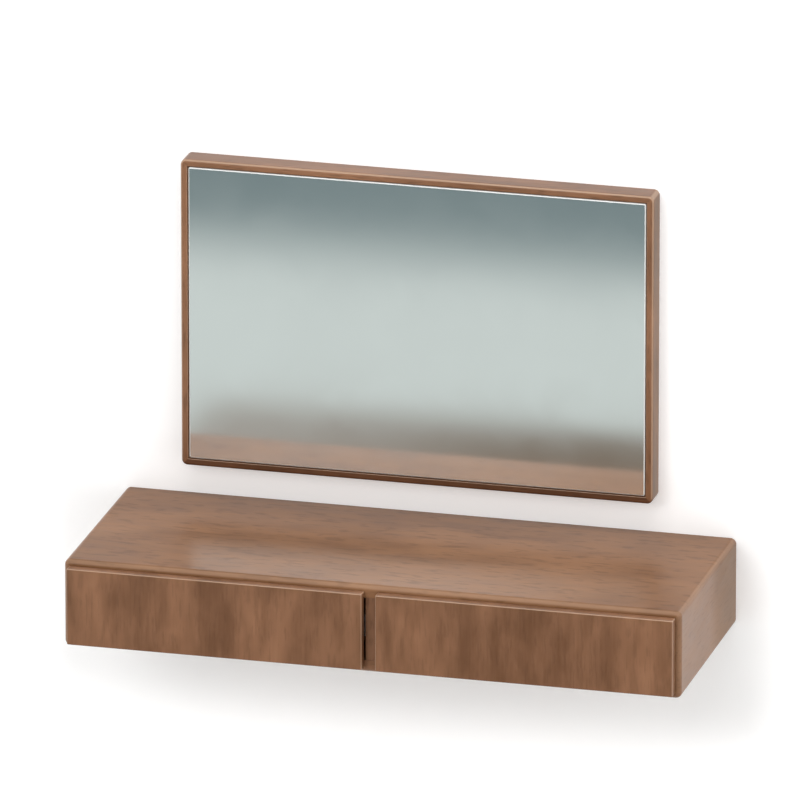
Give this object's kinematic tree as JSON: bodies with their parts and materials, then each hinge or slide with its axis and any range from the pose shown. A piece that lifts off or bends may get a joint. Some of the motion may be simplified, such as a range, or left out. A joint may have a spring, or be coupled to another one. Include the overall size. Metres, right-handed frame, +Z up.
{
  "type": "wall-mounted vanity",
  "caption": "Wide shallow wall-mounted walnut cabinet with handle-less push-open drawers and a separate landscape mirror in a deep rounded walnut frame.",
  "frame": {"origin": "middle of the row of wall screws that carries the cabinet, on the wall's face", "axes": "+X to the right along the cabinet, +Y into the wall, +Z up"},
  "size_m": [1, 0.384, 0.7125],
  "materials": {
    "walnut": "satin lacquered veneer",
    "backing_board": "foiled board",
    "cleat_plywood": "raw plywood",
    "drawer_box_wood": "lacquered birch",
    "drawer_bottom_board": "foiled board",
    "mirror_glass": "silvered glass",
    "runner_steel": "zinc plated",
    "cage_steel": "bright steel",
    "screw_steel": "zinc plated",
    "latch_plastic": "moulded",
    "plunger_plastic": "moulded",
    "buffer_rubber": "soft"
  },
  "bodies": {
    "root": {"cabinet_top": "walnut", "cabinet_bottom": "walnut", "cabinet_side_left": "walnut", "cabinet_side_right": "walnut", "cabinet_divider": "walnut", "mirror_frame_top": "walnut", "mirror_frame_bottom": "walnut", "mirror_frame_left": "walnut", "mirror_frame_right": "walnut", "cabinet_back_panel": "backing_board", "mirror_back_board": "backing_board", "cabinet_cleat": "cleat_plywood", "cabinet_wall_cleat": "cleat_plywood", "mirror_cleat": "cleat_plywood", "mirror_wall_cleat": "cleat_plywood", "cabinet_cleat_screws": "screw_steel", "cabinet_runner_screws": "screw_steel", "latch_screws": "screw_steel", "mirror_cleat_screws": "screw_steel", "front_buffers": "buffer_rubber", "mirror_glass": "mirror_glass", "left_drawer_runner_left_cabinet_member": "runner_steel", "left_drawer_runner_right_cabinet_member": "runner_steel", "left_latch_housing": "latch_plastic", "right_drawer_runner_left_cabinet_member": "runner_steel", "right_drawer_runner_right_cabinet_member": "runner_steel", "right_latch_housing": "latch_plastic"},
    "left_drawer": {"left_drawer_front": "walnut", "left_drawer_strike_plate": "cage_steel", "left_drawer_box_front": "drawer_box_wood", "left_drawer_box_back": "drawer_box_wood", "left_drawer_box_side_left": "drawer_box_wood", "left_drawer_box_side_right": "drawer_box_wood", "left_drawer_box_bottom": "drawer_bottom_board", "left_drawer_front_screws": "screw_steel", "left_drawer_runner_screws": "screw_steel", "left_drawer_runner_left_drawer_member": "runner_steel", "left_drawer_runner_right_drawer_member": "runner_steel"},
    "left_middle_members": {"left_drawer_runner_left_middle_member": "runner_steel", "left_drawer_runner_right_middle_member": "runner_steel"},
    "left_outer_cages": {"left_drawer_outer_ball_cages": "cage_steel"},
    "left_inner_cages": {"left_drawer_inner_ball_cages": "cage_steel"},
    "left_plunger": {"left_latch_plunger": "plunger_plastic"},
    "right_drawer": {"right_drawer_front": "walnut", "right_drawer_strike_plate": "cage_steel", "right_drawer_box_front": "drawer_box_wood", "right_drawer_box_back": "drawer_box_wood", "right_drawer_box_side_left": "drawer_box_wood", "right_drawer_box_side_right": "drawer_box_wood", "right_drawer_box_bottom": "drawer_bottom_board", "right_drawer_front_screws": "screw_steel", "right_drawer_runner_screws": "screw_steel", "right_drawer_runner_left_drawer_member": "runner_steel", "right_drawer_runner_right_drawer_member": "runner_steel"},
    "right_middle_members": {"right_drawer_runner_left_middle_member": "runner_steel", "right_drawer_runner_right_middle_member": "runner_steel"},
    "right_outer_cages": {"right_drawer_outer_ball_cages": "cage_steel"},
    "right_inner_cages": {"right_drawer_inner_ball_cages": "cage_steel"},
    "right_plunger": {"right_latch_plunger": "plunger_plastic"}
  },
  "joints": [
    {"name": "left_drawer_slide", "type": "slide", "parent": "root", "child": "left_drawer", "axis": [0, -1, 0], "range_m": [0, 0.3]},
    {"name": "left_middle_members_slide", "type": "slide", "parent": "root", "child": "left_middle_members", "axis": [0, -1, 0], "range_m": [0, 0.15]},
    {"name": "left_outer_cages_slide", "type": "slide", "parent": "root", "child": "left_outer_cages", "axis": [0, -1, 0], "range_m": [0, 0.075]},
    {"name": "left_inner_cages_slide", "type": "slide", "parent": "root", "child": "left_inner_cages", "axis": [0, -1, 0], "range_m": [0, 0.225]},
    {"name": "left_plunger_slide", "type": "slide", "parent": "root", "child": "left_plunger", "axis": [0, -1, 0], "range_m": [0, 0.036]},
    {"name": "right_drawer_slide", "type": "slide", "parent": "root", "child": "right_drawer", "axis": [0, -1, 0], "range_m": [0, 0.3]},
    {"name": "right_middle_members_slide", "type": "slide", "parent": "root", "child": "right_middle_members", "axis": [0, -1, 0], "range_m": [0, 0.15]},
    {"name": "right_outer_cages_slide", "type": "slide", "parent": "root", "child": "right_outer_cages", "axis": [0, -1, 0], "range_m": [0, 0.075]},
    {"name": "right_inner_cages_slide", "type": "slide", "parent": "root", "child": "right_inner_cages", "axis": [0, -1, 0], "range_m": [0, 0.225]},
    {"name": "right_plunger_slide", "type": "slide", "parent": "root", "child": "right_plunger", "axis": [0, -1, 0], "range_m": [0, 0.036]}
  ],
  "couplings": [
    {"joint": "left_middle_members_slide", "follows": "left_drawer_slide", "ratio": 0.5},
    {"joint": "left_outer_cages_slide", "follows": "left_drawer_slide", "ratio": 0.25},
    {"joint": "left_inner_cages_slide", "follows": "left_drawer_slide", "ratio": 0.75},
    {"joint": "left_plunger_slide", "follows": "left_drawer_slide", "ratio": 0.12},
    {"joint": "right_middle_members_slide", "follows": "right_drawer_slide", "ratio": 0.5},
    {"joint": "right_outer_cages_slide", "follows": "right_drawer_slide", "ratio": 0.25},
    {"joint": "right_inner_cages_slide", "follows": "right_drawer_slide", "ratio": 0.75},
    {"joint": "right_plunger_slide", "follows": "right_drawer_slide", "ratio": 0.12}
  ]
}
